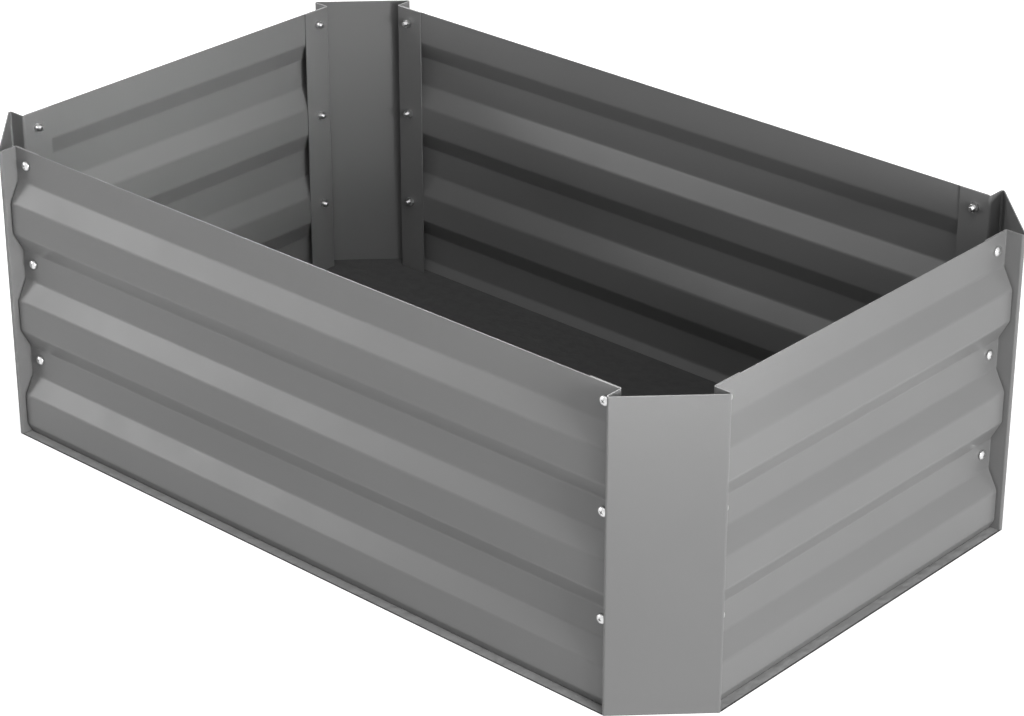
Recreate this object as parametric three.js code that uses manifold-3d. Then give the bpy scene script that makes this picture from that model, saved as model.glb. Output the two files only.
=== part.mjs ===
// Raised garden bed: four corrugated sheet panels held by four bent corner posts, open above and below.
// Millimetres, +Z up. The origin is on the ground at the middle of the bed; +X runs along the length, -Y is the front.
import * as THREE from "three";
import { mergeVertices } from "three/addons/utils/BufferGeometryUtils.js";
import Module from "manifold-3d";

// ---- Driving dimensions ----

// The bed in plan, between the outer faces of the panels' flat lands.
const bedLength = 857;
const bedWidth = 521;
const bedHeight = 300;

// A panel from its top edge down: a flat land, then ribs that stand out with flat lands between them.
// The sheet is cut off at the ground, part of the way down the last rib's lower slope.
const ribCount = 3;
const topLand = 34;
const valleyLand = 29.8;
const ribCrest = 31.4;
const ribSlope = 20.5;
const ribDepth = 11;
const ribBend = 8;
const panelSheet = 0.8;

// A corner post in plan: flange behind each panel's end, web straight outwards, and a flat face across the corner.
const postReach = 54.5;
const postStep = 17.4;
const postFlange = 32.5;
const postBend = 1.8;
const postSheet = 1;

// The pan-head screws and hexagon nuts that clamp each panel's lands to the flanges.
const screwInset = 15;
const screwDrop = 15.7;
const screwRadius = 2.5;
const screwLength = 10;
const screwTip = 0.6;
const headRadius = 4.7;
const headHeight = 3.2;
const headRim = 1;
const nutAcrossFlats = 8;
const nutHeight = 4;
const nutChamfer = 0.5;

// Room between neighbouring pieces.
const contactGap = 0.3;
const threadGap = 0.15;
const holeGap = 0.35;

// How finely round stretches are divided.
const bendSteps = 4;
const roundSides = 12;
const domeSteps = 3;

// ---- Sizes that follow ----

const ribHeight = 2 * ribSlope + ribCrest;
const ribPitch = ribHeight + valleyLand;

// How far from the corner a panel starts: clear of the inside of the bend between web and flange.
const panelStart = postReach + postBend - postSheet / 2 + contactGap;

// Depths behind a panel's outer land face.
const flangeDepth = panelSheet + contactGap;
const nutDepth = flangeDepth + postSheet + contactGap;

const wasm = await Module();
wasm.setup();

// ---- Solids and profiles ----

// The closed solid that a geometry bounds.
function solidOf(geometry) {
  const bare = geometry.clone();
  bare.deleteAttribute("normal");
  bare.deleteAttribute("uv");
  const merged = mergeVertices(bare, 1e-4);
  const mesh = new wasm.Mesh({
    numProp: 3,
    vertProperties: new Float32Array(merged.attributes.position.array),
    triVerts: new Uint32Array(merged.index.array),
  });
  return new wasm.Manifold(mesh);
}

// The geometry of a solid's surface.
function geometryOf(solid) {
  const { numProp, vertProperties, triVerts } = solid.getMesh();
  const geometry = new THREE.BufferGeometry();
  const positions = new THREE.InterleavedBuffer(vertProperties, numProp);
  geometry.setAttribute("position", new THREE.InterleavedBufferAttribute(positions, 3, 0));
  geometry.setIndex(new THREE.BufferAttribute(triVerts, 1));
  const flat = geometry.toNonIndexed();
  flat.computeVertexNormals();
  return flat;
}

// A geometry with every cutter taken out of it.
function cut(geometry, cutters) {
  const whole = solidOf(geometry);
  return geometryOf(cutters.reduce((solid, cutter) => solid.subtract(solidOf(cutter)), whole));
}

// The points and normals along one bend of a sheet's middle line, between the flats before and after a corner.
function bendPoints(before, corner, after, radius) {
  const into = corner.clone().sub(before);
  const out = after.clone().sub(corner);
  const turn = Math.atan2(into.cross(out), into.dot(out));
  const side = Math.sign(turn);
  const roomy = (0.49 * Math.min(into.length(), out.length())) / Math.tan(Math.abs(turn) / 2);
  const bend = Math.min(radius, roomy);
  const start = corner.clone().addScaledVector(into.normalize(), -bend * Math.tan(Math.abs(turn) / 2));
  const left = new THREE.Vector2(-into.y, into.x);
  const centre = start.clone().addScaledVector(left, side * bend);
  return Array.from({ length: bendSteps + 1 }, (_, i) => {
    const normal = left.clone().rotateAround(new THREE.Vector2(), (turn * i) / bendSteps);
    return { point: centre.clone().addScaledVector(normal, -side * bend), normal };
  });
}

// The outline of a sheet whose middle line follows the path, with a round bend at each corner.
function bentSheet(path, radius, thickness) {
  const end = (from, to) => {
    const along = to.clone().sub(from).normalize();
    return new THREE.Vector2(-along.y, along.x);
  };
  const last = path.length - 1;
  const line = [
    { point: path[0], normal: end(path[0], path[1]) },
    ...path.slice(1, last).flatMap((corner, i) => bendPoints(path[i], corner, path[i + 2], radius)),
    { point: path[last], normal: end(path[last - 1], path[last]) },
  ];
  const offset = (distance) => line.map(({ point, normal }) => point.clone().addScaledVector(normal, distance));
  return new THREE.Shape([...offset(-thickness / 2), ...offset(thickness / 2).reverse()]);
}

// A cylinder along Y that clears a screw through the sheets at (x, z), reaching well past both of their faces.
function screwHole(x, y, z) {
  const length = 4 * (nutDepth + ribDepth);
  const hole = new THREE.CylinderGeometry(screwRadius + holeGap, screwRadius + holeGap, length, roundSides);
  return hole.translate(x, y, z);
}

// The heights of the screw rows, one in the flat land above each rib.
function screwRows() {
  return Array.from({ length: ribCount }, (_, i) => bedHeight - screwDrop - i * ribPitch);
}

// The distances of a side's screws from the side's middle, one at each end.
function screwPlaces(span) {
  const place = span / 2 - postReach - screwInset;
  return [-place, place];
}

// ---- Pieces ----
// A side is drawn as the front one is: X along it from its middle, Z up, and the lands' outer face on Y = 0, facing -Y.

// A roll-formed panel: the ribbed section run from one post's web to the other's, with its screw holes.
function panelGeometry(span) {
  const land = -panelSheet / 2;
  const crest = land + ribDepth;
  const path = [new THREE.Vector2(land, bedHeight)];
  for (let i = 0; i < ribCount; i++) {
    const top = bedHeight - topLand - i * ribPitch;
    path.push(new THREE.Vector2(land, top));
    path.push(new THREE.Vector2(crest, top - ribSlope));
    path.push(new THREE.Vector2(crest, top - ribSlope - ribCrest));
    path.push(new THREE.Vector2(land, top - ribHeight));
  }
  // Whatever of the section reaches below the ground is cut off at the ground.
  const foot = bedHeight - topLand - (ribCount - 1) * ribPitch - ribHeight;
  const lowest = Math.min(0, foot) - valleyLand;
  path.push(new THREE.Vector2(land, lowest));
  const length = span - 2 * panelStart;
  const section = bentSheet(path, ribBend, panelSheet);
  const run = new THREE.ExtrudeGeometry(section, { depth: length, bevelEnabled: false });
  // The section's X is outwards and its Y is up; the run goes along the side.
  const toSide = new THREE.Matrix4().makeBasis(
    new THREE.Vector3(0, -1, 0),
    new THREE.Vector3(0, 0, 1),
    new THREE.Vector3(-1, 0, 0),
  );
  run.translate(0, 0, -length / 2).applyMatrix4(toSide);
  const holes = screwRows().flatMap((z) => screwPlaces(span).map((x) => screwHole(x, 0, z)));
  const belowGround = new THREE.BoxGeometry(2 * span, 2 * span, -2 * lowest).translate(0, 0, lowest);
  return cut(run, [...holes, belowGround]);
}

// A bent post, drawn at the front left corner: X and Y run inwards from where the two lands' outer faces would meet.
function postGeometry() {
  const flange = flangeDepth + postSheet / 2;
  const web = postReach - postSheet / 2;
  // The acute bends are round, so the sheet's middle lines meet further out than the bends reach.
  const tip = postStep - postSheet / 2 + Math.SQRT2 * postBend;
  const path = [
    new THREE.Vector2(postReach + postFlange, flange),
    new THREE.Vector2(web, flange),
    new THREE.Vector2(web, -tip),
    new THREE.Vector2(-tip, web),
    new THREE.Vector2(flange, web),
    new THREE.Vector2(flange, postReach + postFlange),
  ];
  const section = bentSheet(path, postBend, postSheet);
  const post = new THREE.ExtrudeGeometry(section, { depth: bedHeight, bevelEnabled: false });
  const holes = screwRows().flatMap((z) => {
    const across = screwHole(postReach + screwInset, flange, z);
    const along = screwHole(-postReach - screwInset, flange, z).rotateZ(-Math.PI / 2);
    return [across, along];
  });
  return cut(post, holes);
}

// A pan-head screw, its head outside and its shank pointing along +Y into the bed.
function screwGeometry() {
  const seat = -contactGap;
  const dome = headHeight - headRim;
  const points = [new THREE.Vector2(0, seat - headHeight)];
  for (let i = 1; i <= domeSteps; i++) {
    const turn = (i / domeSteps) * (Math.PI / 2);
    points.push(new THREE.Vector2(headRadius * Math.sin(turn), seat - headRim - dome * Math.cos(turn)));
  }
  points.push(new THREE.Vector2(headRadius, seat));
  points.push(new THREE.Vector2(screwRadius, seat));
  points.push(new THREE.Vector2(screwRadius, seat + screwLength - screwTip));
  points.push(new THREE.Vector2(screwRadius - screwTip, seat + screwLength));
  points.push(new THREE.Vector2(0, seat + screwLength));
  return new THREE.LatheGeometry(points, roundSides);
}

// A hexagon nut with chamfered rims, its seat on the flange's inner face.
function nutGeometry() {
  const bore = screwRadius + threadGap + nutChamfer;
  const corner = (nutAcrossFlats / 2 - nutChamfer) / Math.cos(Math.PI / 6);
  const around = (radius, sides, sense) =>
    Array.from({ length: sides }, (_, i) => {
      const turn = (sense * i * 2 * Math.PI) / sides;
      return new THREE.Vector2(radius * Math.sin(turn), radius * Math.cos(turn));
    });
  const shape = new THREE.Shape(around(corner, 6, 1));
  shape.holes.push(new THREE.Path(around(bore, roundSides, -1)));
  const nut = new THREE.ExtrudeGeometry(shape, {
    depth: nutHeight - 2 * nutChamfer,
    bevelThickness: nutChamfer,
    bevelSize: nutChamfer,
    bevelSegments: 1,
  });
  return nut.rotateX(-Math.PI / 2).translate(0, nutDepth + nutChamfer, 0);
}

// ---- Assembly ----

const paint = new THREE.MeshStandardMaterial({ color: 0x7b7d7e, roughness: 0.5, metalness: 0.2 });
const zinc = new THREE.MeshStandardMaterial({ color: 0xdfe2e4, roughness: 0.28, metalness: 0.95 });

// A named mesh at (x, 0, z) of its group.
function piece(name, geometry, material, x = 0, z = 0) {
  const mesh = new THREE.Mesh(geometry, material);
  mesh.name = name;
  mesh.position.set(x, 0, z);
  return mesh;
}

const screw = screwGeometry();
const nut = nutGeometry();

// One side of the bed: its panel, and a column of screws and nuts at each end.
function side({ name, span, across, turns, ends }) {
  const group = new THREE.Group();
  group.add(piece(`panel_${name}`, panelGeometry(span), paint));
  screwPlaces(span).forEach((x, end) => {
    screwRows().forEach((z, row) => {
      const place = `${name}_${ends[end]}_${row + 1}`;
      group.add(piece(`screw_${place}`, screw, zinc, x, z));
      group.add(piece(`nut_${place}`, nut, zinc, x, z));
    });
  });
  const turn = (turns * Math.PI) / 2;
  group.rotation.z = turn;
  group.position.set((Math.sin(turn) * across) / 2, (-Math.cos(turn) * across) / 2, 0);
  return group;
}

const bed = new THREE.Group();

const sides = [
  { name: "front", span: bedLength, across: bedWidth, turns: 0, ends: ["left", "right"] },
  { name: "right", span: bedWidth, across: bedLength, turns: 1, ends: ["front", "back"] },
  { name: "back", span: bedLength, across: bedWidth, turns: 2, ends: ["right", "left"] },
  { name: "left", span: bedWidth, across: bedLength, turns: 3, ends: ["back", "front"] },
];
sides.forEach((each) => bed.add(side(each)));

const corners = [
  { name: "front_left", x: -1, y: -1, turns: 0 },
  { name: "front_right", x: 1, y: -1, turns: 1 },
  { name: "back_right", x: 1, y: 1, turns: 2 },
  { name: "back_left", x: -1, y: 1, turns: 3 },
];
const post = postGeometry();
corners.forEach(({ name, x, y, turns }) => {
  const mesh = piece(`post_${name}`, post, paint);
  mesh.rotation.z = (turns * Math.PI) / 2;
  mesh.position.set((x * bedLength) / 2, (y * bedWidth) / 2, 0);
  bed.add(mesh);
});

export default bed;
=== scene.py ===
"""Looks of a raised garden bed: ribbed sheet panels screwed to bent corner posts.

The bed is open above and below. Its four panels are roll-formed sheets with three
ribs, its four corner posts are folded from one strip each, and pan-head screws with
hexagon nuts clamp the panels' flat lands to the posts' flanges. All lengths are in
metres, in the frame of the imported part: +X along the bed, +Z up, the ground at Z = 0.
"""

import logging
import math
from collections.abc import Callable, Iterable
from dataclasses import dataclass
from enum import Enum

import bpy
from mathutils import Matrix, Vector


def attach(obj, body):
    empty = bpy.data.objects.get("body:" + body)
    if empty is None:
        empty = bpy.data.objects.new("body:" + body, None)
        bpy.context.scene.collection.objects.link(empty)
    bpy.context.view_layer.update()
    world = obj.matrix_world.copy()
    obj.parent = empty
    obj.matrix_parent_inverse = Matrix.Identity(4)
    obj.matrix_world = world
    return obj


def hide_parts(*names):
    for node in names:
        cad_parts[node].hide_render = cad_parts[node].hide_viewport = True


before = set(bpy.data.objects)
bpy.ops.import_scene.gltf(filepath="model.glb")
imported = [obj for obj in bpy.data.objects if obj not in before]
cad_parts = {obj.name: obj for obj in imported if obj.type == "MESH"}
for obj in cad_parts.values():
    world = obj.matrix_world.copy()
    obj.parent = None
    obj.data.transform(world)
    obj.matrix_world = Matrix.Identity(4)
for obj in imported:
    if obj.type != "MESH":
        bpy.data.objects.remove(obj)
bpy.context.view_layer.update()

MM = 0.001
BODY = "root"
X_AXIS = Vector((1.0, 0.0, 0.0))
Z_AXIS = Vector((0.0, 0.0, 1.0))
QUARTER = math.pi / 2

# How close a face's normal or an edge's direction is to an axis, as a cosine.
FACES_ALONG = 0.9
RUNS_ALONG = 0.99

# Distances under which two places are the same, when selecting and when merging.
TOUCHING = 1e-6
SAME_POINT = 1e-7

# Edges that turn by more than this many degrees are cut edges, and are broken.
SHARP_EDGE = 50

log = logging.getLogger("garden_bed")


# ---- Modelling by hand ----


class Pick(Enum):
    """What an edit-mode selection is made of."""

    VERT = "VERT"
    EDGE = "EDGE"
    FACE = "FACE"


class Cut(Enum):
    """How one solid is worked with another."""

    DIFFERENCE = "DIFFERENCE"
    INTERSECT = "INTERSECT"
    UNION = "UNION"


class Solver(Enum):
    """Which solver works a cut out."""

    THIN = "EXACT"
    SOLID = "MANIFOLD"


def deselect_all() -> None:
    """Leaves object mode with nothing selected."""
    if bpy.context.object and bpy.context.object.mode != "OBJECT":
        bpy.ops.object.mode_set(mode="OBJECT")
    bpy.ops.object.select_all(action="DESELECT")


def focus(obj: bpy.types.Object) -> None:
    """Makes one object the only selected and the active one.

    Args:
        obj: The object.
    """
    deselect_all()
    obj.select_set(True)
    bpy.context.view_layer.objects.active = obj


def quarter_turn(turns: int, x: float, y: float, z: float = 0.0) -> Matrix:
    """The place that turns a mesh by quarter turns about Z and then moves it."""
    return Matrix.Translation((x, y, z)) @ Matrix.Rotation(turns * QUARTER, 4, "Z")


class Workpiece:
    """One mesh on the bench, shaped in edit mode and with applied modifiers."""

    def __init__(self, obj: bpy.types.Object, name: str) -> None:
        """Takes a new primitive, with its place applied to its mesh.

        Args:
            obj: The object to shape.
            name: The name that the object and its mesh get.
        """
        self.obj = obj
        obj.name = obj.data.name = name
        self.settle()

    @classmethod
    def plane(cls, name: str, place: Matrix, wide: float, long: float) -> "Workpiece":
        """A flat rectangle.

        Args:
            name: The piece's name.
            place: Where its middle is and how it is turned.
            wide: Its size along its own X.
            long: Its size along its own Y.

        Returns:
            The new piece.
        """
        deselect_all()
        spot = {"location": place.to_translation(), "rotation": place.to_euler()}
        bpy.ops.mesh.primitive_plane_add(size=1, **spot)
        bpy.ops.transform.resize(value=(wide, long, 1), orient_type="LOCAL")
        return cls(bpy.context.object, name)

    @classmethod
    def disc(cls, name: str, radius: float, height: float, sides: int) -> "Workpiece":
        """A filled disc that lies flat.

        Args:
            name: The piece's name.
            radius: Its radius.
            height: How high it lies.
            sides: How many sides it has.

        Returns:
            The new piece.
        """
        deselect_all()
        bpy.ops.mesh.primitive_circle_add(
            vertices=sides, radius=radius, fill_type="NGON", location=(0, 0, height)
        )
        return cls(bpy.context.object, name)

    @classmethod
    def cylinder(
        cls, name: str, radius: float, depth: float, place: Matrix, sides: int
    ) -> "Workpiece":
        """A cylinder or prism.

        Args:
            name: The piece's name.
            radius: Out to its corners.
            depth: Its whole length.
            place: Where its middle is and how it is turned.
            sides: How many sides it has.

        Returns:
            The new piece.
        """
        deselect_all()
        spot = {"location": place.to_translation(), "rotation": place.to_euler()}
        bpy.ops.mesh.primitive_cylinder_add(
            vertices=sides, radius=radius, depth=depth, **spot
        )
        return cls(bpy.context.object, name)

    @classmethod
    def turned(cls, name: str, profile: list[tuple[float, float]], sides: int) -> "Workpiece":
        """A closed solid of revolution about Z, drawn out ring by ring from a disc.

        Args:
            name: The piece's name.
            profile: The (radius, height) of each ring, from one end to the other.
            sides: How many sides it has.

        Returns:
            The new piece, with its faces outwards.
        """
        piece = cls.disc(name, *profile[0], sides)
        for (radius, height), (wider, further) in zip(profile, profile[1:]):
            piece.pick(
                Pick.FACE,
                lambda c, n, at=height: abs(c.z - at) < TOUCHING and abs(n.z) > FACES_ALONG,
            )
            bpy.ops.mesh.extrude_region_move(
                TRANSFORM_OT_translate={"value": (0, 0, further - height)}
            )
            grow = wider / radius
            bpy.ops.transform.resize(value=(grow, grow, 1), center_override=(0, 0, further))
        piece.face_outwards()
        return piece

    def settle(self) -> None:
        """Applies the object's place to its mesh, so that it sits at the origin."""
        focus(self.obj)
        bpy.ops.object.transform_apply(location=True, rotation=True, scale=True)

    def pick(self, kind: Pick, wanted: Callable[[Vector, Vector], bool]) -> None:
        """Selects by place or normal and goes to edit mode.

        Args:
            kind: Whether vertices, edges or faces are tested.
            wanted: Takes an element's middle and its normal, which for an edge is its
                direction, and says whether it is selected.
        """
        focus(self.obj)
        mesh = self.obj.data
        for group in (mesh.vertices, mesh.edges, mesh.polygons):
            group.foreach_set("select", [False] * len(group))
        if kind is Pick.VERT:
            for vert in mesh.vertices:
                vert.select = wanted(vert.co, vert.normal)
        elif kind is Pick.EDGE:
            for edge in mesh.edges:
                a, b = (mesh.vertices[i].co for i in edge.vertices)
                edge.select = wanted((a + b) / 2, (b - a).normalized())
        else:
            for face in mesh.polygons:
                face.select = wanted(face.center, face.normal)
        bpy.ops.object.mode_set(mode="EDIT")
        bpy.ops.mesh.select_mode(type=kind.value)

    def pick_all(self) -> None:
        """Selects the whole mesh in edit mode."""
        focus(self.obj)
        bpy.ops.object.mode_set(mode="EDIT")
        bpy.ops.mesh.select_mode(type=Pick.VERT.value)
        bpy.ops.mesh.select_all(action="SELECT")

    def face_outwards(self) -> None:
        """Merges doubles and turns every face outwards."""
        self.pick_all()
        bpy.ops.mesh.remove_doubles(threshold=SAME_POINT)
        bpy.ops.mesh.normals_make_consistent(inside=False)
        deselect_all()

    def keep_above(self, height: float) -> None:
        """Cuts off what is below a height and closes the cut.

        Args:
            height: Where the cut is.
        """
        self.pick_all()
        bpy.ops.mesh.bisect(
            plane_co=(0, 0, height),
            plane_no=(0, 0, 1),
            use_fill=True,
            clear_inner=True,
            threshold=SAME_POINT,
        )
        deselect_all()

    def keep_below(self, height: float) -> None:
        """Cuts off what is above a height and closes the cut.

        Args:
            height: Where the cut is.
        """
        self.pick_all()
        bpy.ops.mesh.bisect(
            plane_co=(0, 0, height),
            plane_no=(0, 0, 1),
            use_fill=True,
            clear_outer=True,
            threshold=SAME_POINT,
        )
        deselect_all()

    def apply(self, kind: str, **settings: object) -> None:
        """Adds a modifier with its settings and applies it.

        Args:
            kind: The modifier's type.
            **settings: What is set on it before it is applied.
        """
        focus(self.obj)
        bpy.ops.object.modifier_add(type=kind)
        modifier = self.obj.modifiers[-1]
        for name, value in settings.items():
            setattr(modifier, name, value)
        bpy.ops.object.modifier_apply(modifier=modifier.name)

    def work_with(
        self, tool: "Workpiece", cut: Cut, solver: Solver = Solver.SOLID
    ) -> None:
        """Cuts, trims or joins this piece with another one, which is used up.

        Args:
            tool: The other piece, closed as this one is.
            cut: What is done with it.
            solver: Which solver works it out.
        """
        self.apply("BOOLEAN", operation=cut.value, object=tool.obj, solver=solver.value)
        bpy.data.objects.remove(tool.obj)

    def thicken(self, thickness: float) -> None:
        """Gives an open sheet its thickness, half to each side."""
        self.face_outwards()
        self.apply("SOLIDIFY", thickness=thickness, offset=0.0, use_even_offset=True)

    def soften(self, width: float, above: float, steps: int = 1) -> None:
        """Breaks the edges that turn by more than an angle.

        Args:
            width: How far each broken edge reaches.
            above: The angle in degrees.
            steps: How many faces round it off.
        """
        self.apply(
            "BEVEL",
            width=width,
            segments=steps,
            limit_method="ANGLE",
            angle_limit=math.radians(above),
        )

    def shade(self, below: float) -> None:
        """Shades smooth over the edges that turn by less than an angle.

        Args:
            below: The angle in degrees.
        """
        focus(self.obj)
        bpy.ops.object.shade_smooth_by_angle(angle=math.radians(below))
        self.apply("WEIGHTED_NORMAL", keep_sharp=True)

    def copy(self, name: str, place: Matrix) -> "Workpiece":
        """A copy with a mesh of its own, at another place.

        Args:
            name: The copy's name.
            place: Where this piece's origin goes.

        Returns:
            The copy.
        """
        twin = self.obj.copy()
        twin.data = self.obj.data.copy()
        bpy.context.scene.collection.objects.link(twin)
        twin.matrix_world = place
        return Workpiece(twin, name)

    def discard(self) -> None:
        """Takes the piece off the bench."""
        bpy.data.objects.remove(self.obj)


class FoldedSheet:
    """A sheet run out and bent strip by strip, as on a folding machine.

    The bend lines all lie along one axis. The sheet's middle surface is drawn, and it
    gets its thickness when the last strip is out.
    """

    def __init__(
        self, name: str, start: Vector, heading: Vector, axis: Vector, wide: float, first: float
    ) -> None:
        """Lays out the first flat strip.

        Args:
            name: The sheet's name.
            start: The middle of the sheet's first edge.
            heading: The way the sheet runs out.
            axis: The direction of the bend lines.
            wide: The sheet's width along the bend lines.
            first: The first strip's length.
        """
        self.tip = start + heading * first
        self.heading = heading.copy()
        self.axis = axis
        turn = Matrix((axis, heading, axis.cross(heading))).transposed().to_4x4()
        place = Matrix.Translation(start + heading * first / 2) @ turn
        self.piece = Workpiece.plane(name, place, wide, first)

    def _pick_free_edge(self) -> None:
        """Selects the edge that the sheet runs out from."""

        def free(middle: Vector, direction: Vector) -> bool:
            """Whether an edge lies along the axis through the sheet's tip.

            Args:
                middle: The edge's middle.
                direction: The way that it runs.

            Returns:
                Whether it does.
            """
            away = middle - self.tip
            off = away - self.axis * away.dot(self.axis)
            return off.length < TOUCHING and abs(direction.dot(self.axis)) > RUNS_ALONG

        self.piece.pick(Pick.EDGE, free)

    def run(self, length: float) -> None:
        """Runs the sheet out straight.

        Args:
            length: How far.
        """
        self._pick_free_edge()
        bpy.ops.mesh.extrude_region_move(
            TRANSFORM_OT_translate={"value": self.heading * length}
        )
        self.tip = self.tip + self.heading * length

    def bend(self, turn: float, radius: float, steps: int) -> None:
        """Bends the sheet round.

        Args:
            turn: The bend in radians, right-handed about the axis.
            radius: The bend's radius on the sheet's middle surface.
            steps: How many strips the bend is made of.
        """
        self._pick_free_edge()
        side = self.axis.cross(self.heading) * math.copysign(radius, turn)
        centre = self.tip + side
        bpy.ops.mesh.spin(steps=steps, angle=-turn, center=centre, axis=self.axis)
        swing = Matrix.Rotation(turn, 3, self.axis)
        self.tip = centre - swing @ side
        self.heading = swing @ self.heading


# ---- The clamped joint ----


@dataclass(frozen=True)
class Joint:
    """Where a panel's land, a post's flange and their screws meet."""

    bed_length: float = 857 * MM
    bed_width: float = 521 * MM
    bed_height: float = 300 * MM
    panel_sheet: float = 0.8 * MM
    post_sheet: float = 1.0 * MM
    post_reach: float = 54.5 * MM
    post_bend: float = 1.8 * MM
    rib_pitch: float = 102.2 * MM
    rows: int = 3
    screw_inset: float = 15 * MM
    screw_drop: float = 15.7 * MM
    hole_radius: float = 2.85 * MM
    contact_gap: float = 0.3 * MM

    def row_heights(self) -> list[float]:
        """The heights of the screw rows, from the top one down."""
        first = self.bed_height - self.screw_drop
        return [first - row * self.rib_pitch for row in range(self.rows)]

    def screw_place(self, span: float) -> float:
        """How far a side's screws are from its middle."""
        return span / 2 - self.post_reach - self.screw_inset

    def panel_length(self, span: float) -> float:
        """The length of the panel that fits between the posts of a side."""
        clear = self.post_bend - self.post_sheet / 2 + self.contact_gap
        return span - 2 * (self.post_reach + clear)


class Side(Enum):
    """The bed's sides: name, quarter turns from the front, and its two ends' names."""

    FRONT = ("front", 0, ("left", "right"))
    RIGHT = ("right", 1, ("front", "back"))
    BACK = ("back", 2, ("right", "left"))
    LEFT = ("left", 3, ("back", "front"))

    @property
    def title(self) -> str:
        """The side's name."""
        return self.value[0]

    @property
    def turns(self) -> int:
        """How many quarter turns it is from the front."""
        return self.value[1]

    @property
    def ends(self) -> tuple[str, str]:
        """The names of its ends, from its own left to its own right."""
        return self.value[2]

    def span(self, joint: Joint) -> float:
        """The side's length between the outer faces of its neighbours."""
        return joint.bed_width if self.turns % 2 else joint.bed_length

    def place(self, joint: Joint) -> Matrix:
        """Where a piece goes that was drawn for the front, with its lands at Y = 0.

        Args:
            joint: The bed's sizes.

        Returns:
            The place.
        """
        across = joint.bed_length if self.turns % 2 else joint.bed_width
        angle = self.turns * QUARTER
        x, y = math.sin(angle) * across / 2, -math.cos(angle) * across / 2
        return quarter_turn(self.turns, x, y)


# ---- Shader nodes ----


class Graph:
    """A node tree under construction."""

    def __init__(self, tree: bpy.types.NodeTree) -> None:
        """Empties a tree and starts on it."""
        self.tree = tree
        tree.nodes.clear()

    def node(
        self, kind: str, settings: dict[str, object] | None = None, **inputs: object
    ) -> bpy.types.Node:
        """Adds one node.

        Args:
            kind: The node's type name.
            settings: Properties to set first; a ramp's stops go under "stops".
            **inputs: Values or links by socket name, with _ for a space; a name such as
                i0 means the socket at that index.

        Returns:
            The new node.
        """
        made = self.tree.nodes.new(kind)
        for name, value in (settings or {}).items():
            if name == "stops":
                self._set_stops(made.color_ramp, value)
            else:
                setattr(made, name, value)
        for name, value in inputs.items():
            by_index = name[0] == "i" and name[1:].isdigit()
            socket = made.inputs[int(name[1:]) if by_index else name.replace("_", " ")]
            if isinstance(value, Sock):
                self.tree.links.new(value.socket, socket)
            else:
                socket.default_value = value
        return made

    @staticmethod
    def _set_stops(ramp: bpy.types.ColorRamp, stops: Iterable[tuple[float, float]]) -> None:
        """Gives a ramp its stops.

        Args:
            ramp: The ramp.
            stops: The (position, grey level) of each stop.
        """
        wanted = list(stops)
        while len(ramp.elements) < len(wanted):
            ramp.elements.new(1.0)
        for element, (position, level) in zip(ramp.elements, wanted):
            element.position = position
            element.color = (level, level, level, 1.0)

    def value(
        self, kind: str, settings: dict[str, object] | None = None, out: int = 0, **inputs: object
    ) -> "Sock":
        """Adds one node and returns one of its outputs, the first unless told otherwise."""
        return Sock(self, self.node(kind, settings, **inputs).outputs[out])

    def here(self) -> "Sock":
        """The point on the surface, in object coordinates."""
        return self.value("ShaderNodeTexCoord", out=3)

    def noise(self, at: "Sock", scale: float, detail: float = 2.0, rough: float = 0.5) -> "Sock":
        """Noise from 0 to 1 with so many features a metre."""
        inputs = {"Scale": scale, "Detail": detail, "Roughness": rough}
        return self.value("ShaderNodeTexNoise", Vector=at, **inputs)

    def mix(self, share: "Sock", low: tuple, high: tuple) -> "Sock":
        """A colour between two, by a share from 0 to 1."""
        settings = {"data_type": "RGBA"}
        return self.value("ShaderNodeMix", settings, out=2, i0=share, i6=low, i7=high)

    def clamp(self, value: "Sock", low: float, high: float) -> "Sock":
        """A value kept between two limits."""
        return self.value("ShaderNodeClamp", Value=value, Min=low, Max=high)


class Sock:
    """An output socket that takes part in Python arithmetic."""

    def __init__(self, graph: Graph, socket: bpy.types.NodeSocket) -> None:
        """Wraps a socket of a graph's tree."""
        self.graph = graph
        self.socket = socket

    def _math(self, operation: str, a: object, b: object) -> "Sock":
        """Adds a Math node on two values."""
        return self.graph.value("ShaderNodeMath", {"operation": operation}, i0=a, i1=b)

    def __add__(self, other: object) -> "Sock":
        """self + other"""
        return self._math("ADD", self, other)

    __radd__ = __add__

    def __mul__(self, other: object) -> "Sock":
        """self * other"""
        return self._math("MULTIPLY", self, other)

    __rmul__ = __mul__

    def __sub__(self, other: object) -> "Sock":
        """self - other"""
        return self._math("SUBTRACT", self, other)

    def __rsub__(self, other: object) -> "Sock":
        """other - self"""
        return self._math("SUBTRACT", other, self)

    def high(self, other: object) -> "Sock":
        """The larger of two values."""
        return self._math("MAXIMUM", self, other)

    def low(self, other: object) -> "Sock":
        """The smaller of two values."""
        return self._math("MINIMUM", self, other)

    def above(self, other: object) -> "Sock":
        """1 where the value is larger than another one, else 0."""
        return self._math("GREATER_THAN", self, other)

    def size(self) -> "Sock":
        """The value without its sign."""
        return self.high(self * -1.0)

    def times(self, other: "Sock") -> "Sock":
        """A colour multiplied by another one."""
        settings = {"data_type": "RGBA", "blend_type": "MULTIPLY"}
        return self.graph.value("ShaderNodeMix", settings, out=2, i0=1.0, i6=self, i7=other)


# ---- Finishes ----


@dataclass(frozen=True)
class Grey:
    """A neutral colour, given by its linear level."""

    level: float

    def rgba(self, factor: float = 1.0) -> tuple[float, float, float, float]:
        """The colour as linear values, made lighter or darker by a factor."""
        level = self.level * factor
        return (level, level, level, 1.0)


WHITE = Grey(1.0)


@dataclass(frozen=True)
class Coat:
    """A finished material and the slot that it stands for."""

    slot: str
    material: bpy.types.Material


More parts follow.
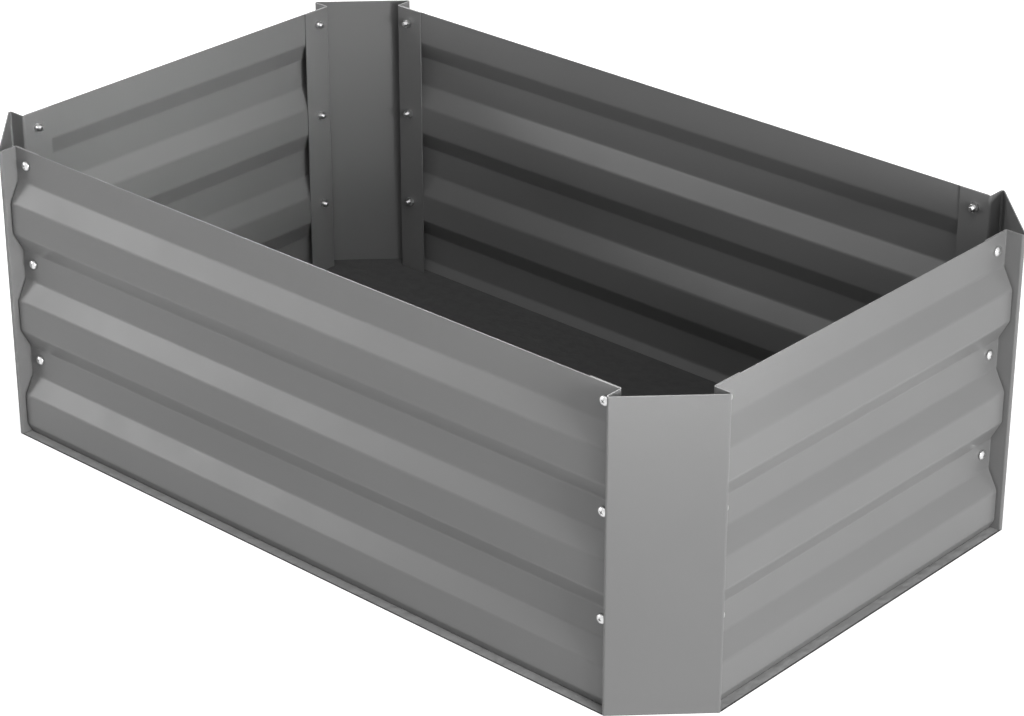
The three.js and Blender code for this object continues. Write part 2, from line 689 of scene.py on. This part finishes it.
@dataclass(frozen=True)
class PowderCoat:
    """Satin powder coat on galvanised sheet, with its fine orange peel."""

    slot: str = "powder_coat"
    colour: Grey = Grey(0.205)
    darkest: float = 0.93
    lightest: float = 1.07
    cloud_scale: float = 7.0
    cloud_share: float = 0.7
    speck_scale: float = 1900.0
    speck_share: float = 0.3
    smoothest: float = 0.27
    smear_scale: float = 24.0
    smear_rough: float = 0.12
    speck_rough: float = 0.06
    peel_scale: float = 520.0
    peel_rough: float = 0.55
    peel_depth: float = 0.035 * MM
    sway_scale: float = 5.0
    sway_depth: float = 0.5 * MM

    def mixed(self) -> Coat:
        """Makes the finish ready, once for all the pieces that wear it.

        Returns:
            The material with its slot.
        """
        made = bpy.data.materials.new(self.slot)
        made.use_nodes = True
        g = Graph(made.node_tree)
        at = g.here()
        cloud = g.noise(at, self.cloud_scale, detail=3.0)
        speck = g.noise(at, self.speck_scale, detail=1.0)
        tone = cloud * self.cloud_share + speck * self.speck_share
        peel = g.noise(at, self.peel_scale, rough=self.peel_rough)
        sway = g.noise(at, self.sway_scale, detail=1.0)
        swept = g.value("ShaderNodeBump", Height=sway, Distance=self.sway_depth, Strength=1.0)
        relief = g.value(
            "ShaderNodeBump", Height=peel, Distance=self.peel_depth, Strength=1.0, Normal=swept
        )
        smear = g.noise(at, self.smear_scale, detail=3.0)
        shader = g.value(
            "ShaderNodeBsdfPrincipled",
            Base_Color=g.mix(
                tone, self.colour.rgba(self.darkest), self.colour.rgba(self.lightest)
            ),
            Roughness=smear * self.smear_rough + speck * self.speck_rough + self.smoothest,
            Metallic=0.0,
            Normal=relief,
        )
        g.node("ShaderNodeOutputMaterial", Surface=shader)
        return Coat(self.slot, made)


@dataclass(frozen=True)
class ZincPlate:
    """Bright zinc plate on small steel hardware."""

    slot: str = "zinc"
    colour: Grey = Grey(0.68)
    darkest: float = 0.9
    lightest: float = 1.08
    smoothest: float = 0.18
    patch_scale: float = 260.0
    patch_rough: float = 0.16
    grain_scale: float = 2600.0
    grain_rough: float = 0.08
    grain_depth: float = 0.01 * MM

    def mixed(self) -> Coat:
        """Makes the finish ready, once for all the pieces that wear it.

        Returns:
            The material with its slot.
        """
        made = bpy.data.materials.new(self.slot)
        made.use_nodes = True
        g = Graph(made.node_tree)
        at = g.here()
        patch = g.noise(at, self.patch_scale, detail=3.0)
        grain = g.noise(at, self.grain_scale)
        relief = g.value("ShaderNodeBump", Height=grain, Distance=self.grain_depth, Strength=1.0)
        shader = g.value(
            "ShaderNodeBsdfPrincipled",
            Base_Color=g.mix(
                patch, self.colour.rgba(self.darkest), self.colour.rgba(self.lightest)
            ),
            Roughness=patch * self.patch_rough + grain * self.grain_rough + self.smoothest,
            Metallic=1.0,
            Normal=relief,
        )
        g.node("ShaderNodeOutputMaterial", Surface=shader)
        return Coat(self.slot, made)


# ---- Sub-assemblies ----


def dress(piece: Workpiece, coat: Coat, node: str) -> None:
    """Gives a finished piece its material and its body, and hides the CAD node that it stands for.

    Args:
        piece: The finished piece.
        coat: Its finish.
        node: The CAD node that it replaces.
    """
    piece.obj.data.materials.clear()
    piece.obj.data.materials.append(coat.material)
    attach(piece.obj, BODY)
    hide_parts(node)
    log.info("%s stands for %s: %d faces", piece.obj.name, node, len(piece.obj.data.polygons))


def punch(
    sheet: Workpiece, spots: Iterable[Matrix], radius: float, depth: float, sides: int = 32
) -> None:
    """Punches round holes through a sheet.

    Args:
        sheet: The sheet.
        spots: Each hole's middle, with the hole's axis as local Z.
        radius: The holes' radius.
        depth: The punch's length, through the sheet and past both faces.
        sides: How many sides a hole has.
    """
    for spot in spots:
        tool = Workpiece.cylinder("punch", radius, depth, spot, sides)
        sheet.work_with(tool, Cut.DIFFERENCE, Solver.THIN)


@dataclass
class RibbedPanels:
    """The four roll-formed side panels."""

    joint: Joint
    top_land: float = 34 * MM
    valley_land: float = 29.8 * MM
    crest: float = 31.4 * MM
    slope: float = 20.5 * MM
    depth: float = 11 * MM
    bend: float = 8 * MM
    bend_steps: int = 8
    edge: float = 0.12 * MM
    smooth_below: float = 25

    def form(self, span: float) -> Workpiece:
        """Rolls the panel of one side, drawn as the front one with its lands at Y = 0.

        Args:
            span: The side's length.

        Returns:
            The finished sheet.
        """
        joint = self.joint
        turn = math.atan2(self.depth, self.slope)
        tangent = self.bend * math.tan(turn / 2)
        slant = math.hypot(self.depth, self.slope) - 2 * tangent
        top = Vector((0, joint.panel_sheet / 2, joint.bed_height))
        first = self.top_land - tangent
        length = joint.panel_length(span)
        roll = FoldedSheet("panel_blank", top, -Z_AXIS, X_AXIS, length, first)
        for _ in range(joint.rows):
            for lean, flat in (
                (-turn, slant),
                (turn, self.crest - 2 * tangent),
                (turn, slant),
                (-turn, self.valley_land - 2 * tangent),
            ):
                roll.bend(lean, self.bend, self.bend_steps)
                roll.run(flat)
        sheet = roll.piece
        sheet.thicken(joint.panel_sheet)
        sheet.keep_above(0.0)
        across = Matrix.Rotation(QUARTER, 4, "X")
        place = joint.screw_place(span)
        spots = [
            Matrix.Translation((x, 0, z)) @ across
            for z in joint.row_heights()
            for x in (-place, place)
        ]
        punch(sheet, spots, joint.hole_radius, 2 * self.depth)
        sheet.soften(self.edge, SHARP_EDGE)
        sheet.shade(self.smooth_below)
        return sheet

    def build(self, coat: Coat) -> None:
        """Makes, places and dresses the four panels.

        Args:
            coat: Their finish.
        """
        for pair in ((Side.FRONT, Side.BACK), (Side.RIGHT, Side.LEFT)):
            blank = self.form(pair[0].span(self.joint))
            for side in pair:
                panel = blank.copy(f"ribbed_panel_{side.title}", side.place(self.joint))
                dress(panel, coat, f"panel_{side.title}")
            blank.discard()


@dataclass
class CornerPosts:
    """The four folded corner posts."""

    joint: Joint
    step: float = 17.4 * MM
    flange: float = 32.5 * MM
    square_turn: float = 90
    acute_turn: float = 135
    bend_steps: int = 8
    edge: float = 0.15 * MM
    smooth_below: float = 25
    corners: tuple[tuple[str, int, int], ...] = (
        ("front_left", -1, -1),
        ("front_right", 1, -1),
        ("back_right", 1, 1),
        ("back_left", -1, 1),
    )

    def form(self) -> Workpiece:
        """Folds one post, drawn at the front left corner.

        X and Y run inwards from where the outer faces of the two panels' lands meet.

        Returns:
            The finished post.
        """
        joint = self.joint
        radius = joint.post_bend
        back = joint.panel_sheet + joint.contact_gap + joint.post_sheet / 2
        web = joint.post_reach - joint.post_sheet / 2
        tip = self.step - joint.post_sheet / 2 + math.sqrt(2) * radius
        square, acute = radius, radius * math.tan(math.radians(self.acute_turn / 2))
        flat = joint.post_reach + self.flange - web - square
        side = back + tip - square - acute
        face = math.sqrt(2) * (web + tip) - 2 * acute
        start = Vector((joint.post_reach + self.flange, back, joint.bed_height / 2))
        fold = FoldedSheet("post_blank", start, -X_AXIS, Z_AXIS, joint.bed_height, flat)
        for lean, run in (
            (self.square_turn, side),
            (-self.acute_turn, face),
            (-self.acute_turn, side),
            (self.square_turn, flat),
        ):
            fold.bend(math.radians(lean), radius, self.bend_steps)
            fold.run(run)
        post = fold.piece
        post.thicken(joint.post_sheet)
        inset = joint.post_reach + joint.screw_inset
        spots = []
        for z in joint.row_heights():
            for axis, x, y in (("X", inset, back), ("Y", back, inset)):
                spots.append(Matrix.Translation((x, y, z)) @ Matrix.Rotation(QUARTER, 4, axis))
        punch(post, spots, joint.hole_radius, self.step)
        post.soften(self.edge, SHARP_EDGE)
        post.shade(self.smooth_below)
        return post

    def build(self, coat: Coat) -> None:
        """Makes, places and dresses the four posts.

        Args:
            coat: Their finish.
        """
        joint = self.joint
        blank = self.form()
        for turns, (name, x, y) in enumerate(self.corners):
            place = quarter_turn(turns, x * joint.bed_length / 2, y * joint.bed_width / 2)
            dress(blank.copy(f"corner_post_{name}", place), coat, f"post_{name}")
        blank.discard()


@dataclass
class Fasteners:
    """The pan-head screws and hexagon nuts of every joint.

    Both are drawn with their axis on Z, the screw's head above and the land's outer
    face at Z = 0.
    """

    joint: Joint
    shank: float = 2.5 * MM
    length: float = 10 * MM
    overlap: float = 0.4 * MM
    tip: float = 0.6 * MM
    head: float = 4.7 * MM
    head_height: float = 3.2 * MM
    head_rim: float = 1.0 * MM
    head_seat: float = 0.15 * MM
    crown: float = 0.4 * MM
    dome_steps: int = 7
    thread_pitch: float = 0.8 * MM
    thread_depth: float = 0.3 * MM
    thread_sides: int = 28
    thread_lead: float = 2.33
    tooth: tuple[tuple[float, float], ...] = ((0, 0), (0, 0.12), (1, 0.5), (1, 0.62), (0, 1))
    recess: float = 2.7 * MM
    recess_arm: float = 1.0 * MM
    recess_depth: float = 1.9 * MM
    recess_taper: tuple[float, float, float] = (0.45, 0.6, 1)
    screw_smooth: float = 32
    nut_flats: float = 8 * MM
    nut_height: float = 4 * MM
    nut_chamfer: float = 0.5 * MM
    nut_edge: float = 0.15 * MM
    nut_sharp: float = 25
    nut_smooth: float = 20
    face_inset: float = 0.1 * MM
    face_slope: float = 30
    thread_gap: float = 0.15 * MM
    past: float = 0.2 * MM
    sides: int = 40
    barrel_sides: int = 72
    turn_step: float = 137.5

    def head_blank(self) -> Workpiece:
        """Turns the domed head, with a broken rim, and cuts the cross recess.

        Returns:
            The head.
        """
        seat = self.joint.contact_gap
        shoulder, top = seat + self.head_rim, seat + self.head_height
        profile = [(self.head - self.head_seat, seat), (self.head, seat + self.head_seat)]
        for i in range(self.dome_steps):
            turn = (i / self.dome_steps) * QUARTER
            rise = (self.head_height - self.head_rim) * math.sin(turn)
            profile.append((self.head * math.cos(turn), shoulder + rise))
        profile.append((self.crown, top))
        head = Workpiece.turned("screw_head", profile, self.sides)
        for angle in (0, QUARTER):
            head.work_with(self.recess_arm_tool(top, angle), Cut.DIFFERENCE)
        return head

    def recess_arm_tool(self, top: float, angle: float) -> Workpiece:
        """One tapered arm of the drive recess, as a cutter.

        Args:
            top: The height of the head's crown.
            angle: How the arm is turned about the screw's axis.

        Returns:
            The cutter.
        """
        deselect_all()
        bpy.ops.mesh.primitive_cube_add(size=1, location=(0, 0, top))
        bpy.ops.transform.resize(value=(2 * self.recess, self.recess_arm, 2 * self.recess_depth))
        tool = Workpiece(bpy.context.object, "recess_tool")
        tool.pick(Pick.FACE, lambda c, n: n.z < -FACES_ALONG)
        floor = (0, 0, top - self.recess_depth)
        bpy.ops.transform.resize(value=self.recess_taper, center_override=floor)
        deselect_all()
        tool.obj.rotation_euler.z = angle
        tool.settle()
        return tool

    def shank_blank(self) -> Workpiece:
        """Winds the thread round the shank and breaks its tip.

        Returns:
            The shank.
        """
        seat = self.joint.contact_gap
        root = self.shank - self.thread_depth
        end = seat - self.length
        pitch = self.thread_pitch
        low = end - self.thread_lead * pitch
        profile = Workpiece.plane("thread", Matrix.Translation((root, 0, low)), pitch, pitch)
        focus(profile.obj)
        profile.pick(Pick.VERT, lambda c, n: True)
        bpy.ops.mesh.delete(type="ONLY_FACE")
        deselect_all()
        self._draw_tooth(profile.obj.data, root, low)
        profile.apply(
            "SCREW",
            axis="Z",
            angle=2 * math.pi,
            screw_offset=pitch,
            iterations=int((self.length + 5 * pitch) / pitch),
            steps=self.thread_sides,
            render_steps=self.thread_sides,
            use_merge_vertices=True,
            merge_threshold=TOUCHING,
        )
        profile.face_outwards()
        profile.keep_below(seat + self.overlap)
        profile.keep_above(end)
        profile.face_outwards()
        wide = self.shank + self.past
        cone = [
            (self.shank - self.tip - self.past, end - self.past),
            (wide, end + self.tip + self.past),
            (wide, seat + self.head_rim),
        ]
        profile.work_with(Workpiece.turned("tip_tool", cone, self.sides), Cut.INTERSECT)
        return profile

    def _draw_tooth(self, mesh: bpy.types.Mesh, root: float, low: float) -> None:
        """Draws one thread tooth as a line of edges from root to crest to root.

        Args:
            mesh: Where it is drawn.
            root: The thread's radius at its root.
            low: The height that the tooth starts at.
        """
        mesh.clear_geometry()
        verts = [
            (self.shank if crest else root, 0, low + share * self.thread_pitch)
            for crest, share in self.tooth
        ]
        mesh.from_pydata(verts, [(i, i + 1) for i in range(len(verts) - 1)], [])

    def screw_blank(self) -> Workpiece:
        """Joins head and shank.

        Returns:
            One whole screw.
        """
        screw = self.head_blank()
        screw.work_with(self.shank_blank(), Cut.UNION)
        screw.face_outwards()
        screw.shade(self.screw_smooth)
        return screw

    def nut_blank(self) -> Workpiece:
        """Cuts a hexagon nut, chamfered at both ends and with a countersunk bore.

        Returns:
            One whole nut.
        """
        joint = self.joint
        seat = -(joint.panel_sheet + joint.post_sheet + 2 * joint.contact_gap)
        far = seat - self.nut_height
        corner = self.nut_flats / 2 / math.cos(math.pi / 6)
        middle = Matrix.Translation((0, 0, (seat + far) / 2))
        nut = Workpiece.cylinder("nut", corner, self.nut_height, middle, 6)
        nut.soften(self.nut_edge, self.nut_sharp, steps=2)
        rise = math.tan(math.radians(self.face_slope))
        face, waist = self.nut_flats / 2 - self.face_inset, corner + self.past
        drop = (waist - face) * rise
        barrel = [
            (face - self.past / rise, far - self.past),
            (waist, far + drop),
            (waist, seat - drop),
            (face - self.past / rise, seat + self.past),
        ]
        nut.work_with(Workpiece.turned("nut_tool", barrel, self.barrel_sides), Cut.INTERSECT)
        bore = self.shank + self.thread_gap
        wide = bore + self.nut_chamfer + self.past
        hole = [
            (wide, far - self.past),
            (bore, far + self.nut_chamfer),
            (bore, seat - self.nut_chamfer),
            (wide, seat + self.past),
        ]
        nut.work_with(Workpiece.turned("bore_tool", hole, self.sides), Cut.DIFFERENCE)
        nut.face_outwards()
        nut.shade(self.nut_smooth)
        return nut

    def build(self, coat: Coat) -> None:
        """Makes, places and dresses every screw and nut.

        Args:
            coat: Their finish.
        """
        joint = self.joint
        blanks = {"screw": self.screw_blank(), "nut": self.nut_blank()}
        names = {"screw": "pan_screw", "nut": "hex_nut"}
        outwards = Matrix.Rotation(QUARTER, 4, "X")
        count = 0
        for side in Side:
            reach = joint.screw_place(side.span(joint))
            for end, x in zip(side.ends, (-reach, reach)):
                for row, z in enumerate(joint.row_heights(), start=1):
                    spot = f"{side.title}_{end}_{row}"
                    for kind, blank in blanks.items():
                        count += 1
                        spin = Matrix.Rotation(math.radians(count * self.turn_step), 4, "Z")
                        place = side.place(joint) @ Matrix.Translation((x, 0, z)) @ outwards @ spin
                        piece = blank.copy(f"{names[kind]}_{spot}", place)
                        dress(piece, coat, f"{kind}_{spot}")
        for blank in blanks.values():
            blank.discard()


# ---- Studio ----


@dataclass(frozen=True)
class Lamp:
    """One soft square lamp that faces a point, with its beam's spread in degrees."""

    name: str
    azimuth: float
    elevation: float
    distance: float
    size: float
    power: float
    aim: tuple[float, float, float] = (0.0, 0.0, 0.15)
    spread: float = 180.0


def from_round(azimuth: float, elevation: float) -> Vector:
    """The direction from the bed to a place round it.

    Args:
        azimuth: 0 is in front, 90 to the right, in degrees.
        elevation: Above the horizon, in degrees.

    Returns:
        The direction, one metre long.
    """
    a, e = math.radians(azimuth), math.radians(elevation)
    return Vector((math.sin(a) * math.cos(e), -math.cos(a) * math.cos(e), math.sin(e)))


@dataclass
class Studio:
    """Pale floor, a ground patch with painted shade, plain soft light and the camera."""

    joint: Joint
    azimuth: float = 42.146
    elevation: float = 26.498
    distance: float = 2.957
    aim: tuple[float, float, float] = (0.0203, 0.0020, 0.1119)
    lens: float = 109.49
    sensor: float = 36.0
    ambient: float = 0.12
    floor_size: float = 40.0
    floor_drop: float = 0.3 * MM
    floor_paint: float = 0.6
    floor_lift: float = 0.86
    post_step: float = 17.4 * MM
    ground_drop: float = 0.1 * MM
    ground_cut: float = 68.6 * MM
    crumb_scale: float = 90.0
    crumb_depth: float = 2 * MM
    crumb_dark: Grey = Grey(0.85)
    crumb_light: Grey = Grey(1.15)
    # Painted shade: the ground's grey by distance out past the panels, as a share of the post's
    # step. It is dark inside the bed, where there is only shade, and just outside the panels'
    # feet. It is lighter further out, with a dark painted shadow line at the outer edge.
    painted_shade_tones: tuple[tuple[float, float], ...] = (
        (0.33, 0.13),
        (0.36, 0.38),
        (0.88, 0.38),
        (0.93, 0.07),
    )
    lamps: tuple[Lamp, ...] = (
        Lamp("lamp_right", 75, 10, 3.0, 0.6, 53),
        Lamp("lamp_right_high", 62, 25, 3.0, 0.6, 11),
        Lamp("lamp_left", -45, 12, 3.0, 0.8, 16),
        Lamp("lamp_above", 40, 60, 3.0, 1.4, 15.5),
        Lamp("lamp_behind", -135, 35, 3.0, 1.0, 48),
        Lamp("lamp_inside", 77.1, 14.1, 1.93, 0.3, 0.35, (-0.43, -0.08, 0.28), 24),
    )

    def set_camera(self) -> None:
        """Puts the camera where the photograph was taken from."""
        back = from_round(self.azimuth, self.elevation)
        spot = Vector(self.aim) + back * self.distance
        turn = (-back).to_track_quat("-Z", "Y").to_euler()
        bpy.ops.object.camera_add(location=spot, rotation=turn)
        camera = bpy.context.object
        camera.name = "camera"
        camera.data.lens = self.lens
        camera.data.sensor_width = self.sensor
        bpy.context.scene.camera = camera

    def set_lamps(self) -> None:
        """Hangs the lamps, which the camera doesn't see."""
        for lamp in self.lamps:
            out = from_round(lamp.azimuth, lamp.elevation)
            spot = Vector(lamp.aim) + out * lamp.distance
            turn = (-out).to_track_quat("-Z", "Y").to_euler()
            bpy.ops.object.light_add(type="AREA", location=spot, rotation=turn)
            light = bpy.context.object
            light.name = lamp.name
            light.data.size = lamp.size
            light.data.energy = lamp.power
            light.data.spread = math.radians(lamp.spread)
            light.visible_camera = False

    def _seen_plain(self, g: Graph) -> Sock:
        """Tells the rays that should meet a white background from those that light.

        Args:
            g: The node tree that asks.

        Returns:
            1 for the former, 0 for the latter.
        """
        path = g.node("ShaderNodeLightPath")
        seen = [Sock(g, path.outputs[n]) for n in ("Is Camera Ray", "Is Glossy Ray")]
        through = Sock(g, path.outputs["Is Transmission Ray"])
        return seen[0].high(seen[1]).high(through)

    def set_world(self) -> None:
        """Makes the surroundings white to look at and a plain level to be lit by."""
        world = bpy.data.worlds.new("studio")
        bpy.context.scene.world = world
        world.use_nodes = True
        g = Graph(world.node_tree)
        strength = self._seen_plain(g) * (1 - self.ambient) + self.ambient
        sky = g.value("ShaderNodeBackground", Color=WHITE.rgba(), Strength=strength)
        g.node("ShaderNodeOutputWorld", Surface=sky)

    def set_floor(self) -> None:
        """Lays the pale floor, which looks white and keeps the bed's shadow."""
        spot = Matrix.Translation((0, 0, -self.floor_drop))
        floor = Workpiece.plane("floor", spot, self.floor_size, self.floor_size)
        made = bpy.data.materials.new("pale_floor")
        made.use_nodes = True
        g = Graph(made.node_tree)
        paint = g.value("ShaderNodeBsdfDiffuse", Color=WHITE.rgba(self.floor_paint))
        strength = self._seen_plain(g) * self.floor_lift
        glow = g.value("ShaderNodeEmission", Color=WHITE.rgba(), Strength=strength)
        both = g.value("ShaderNodeAddShader", i0=paint, i1=glow)
        g.node("ShaderNodeOutputMaterial", Surface=both)
        floor.obj.data.materials.append(made)

    def set_ground(self) -> None:
        """Lays a ground patch out to the posts' tips, with painted shade in its colour: dark
        inside the open bed and next to the panels' feet, lighter further out, and a painted shadow
        line along its edge.
        """
        joint = self.joint
        long = joint.bed_length + 2 * self.post_step
        wide = joint.bed_width + 2 * self.post_step
        spot = Matrix.Translation((0, 0, -self.ground_drop))
        ground = Workpiece.plane("ground", spot, long, wide)
        ground.pick_all()
        bpy.ops.mesh.bevel(offset=self.ground_cut, affect="VERTICES")
        deselect_all()
        made = bpy.data.materials.new("ground_with_painted_shade")
        made.use_nodes = True
        g = Graph(made.node_tree)
        at = g.here()
        crumb = g.noise(at, self.crumb_scale, detail=4.0)
        relief = g.value("ShaderNodeBump", Height=crumb, Distance=self.crumb_depth, Strength=1.0)
        x, y = (g.value("ShaderNodeSeparateXYZ", out=n, Vector=at) for n in (0, 1))
        # How far out past the panels' planes a point lies. This is nought inside the bed and under
        # the posts' corners, and the ramp below turns it into painted shade.
        past_x = x.size() - joint.bed_length / 2
        past_y = y.size() - joint.bed_width / 2
        in_post = past_x.low(past_y).above(-joint.post_reach)
        outside = past_x.high(past_y) * (1 - in_post)
        # Painted shade: dark grey where the bed's inside and the panels' feet lie in shade,
        # lighter beyond, and a painted shadow line at the outer edge.
        tone = g.value(
            "ShaderNodeValToRGB",
            {"stops": self.painted_shade_tones},
            Fac=g.clamp(outside * (1 / self.post_step), 0.0, 1.0),
        )
        colour = g.mix(crumb, self.crumb_dark.rgba(), self.crumb_light.rgba()).times(tone)
        shaded_ground_shader = g.value("ShaderNodeBsdfDiffuse", Color=colour, Normal=relief)
        g.node("ShaderNodeOutputMaterial", Surface=shaded_ground_shader)
        ground.obj.data.materials.append(made)

    def build(self) -> None:
        """Sets up the whole studio."""
        self.set_camera()
        self.set_lamps()
        self.set_world()
        self.set_floor()
        self.set_ground()
        bpy.context.scene.view_settings.view_transform = "Standard"


def main() -> None:
    """Builds the bed's sub-assemblies in order, then the studio."""
    logging.basicConfig(level=logging.INFO, format="%(message)s")
    joint = Joint()
    paint = PowderCoat().mixed()
    zinc = ZincPlate().mixed()
    RibbedPanels(joint).build(paint)
    CornerPosts(joint).build(paint)
    Fasteners(joint).build(zinc)
    Studio(joint).build()


if __name__ == "__main__":
    main()
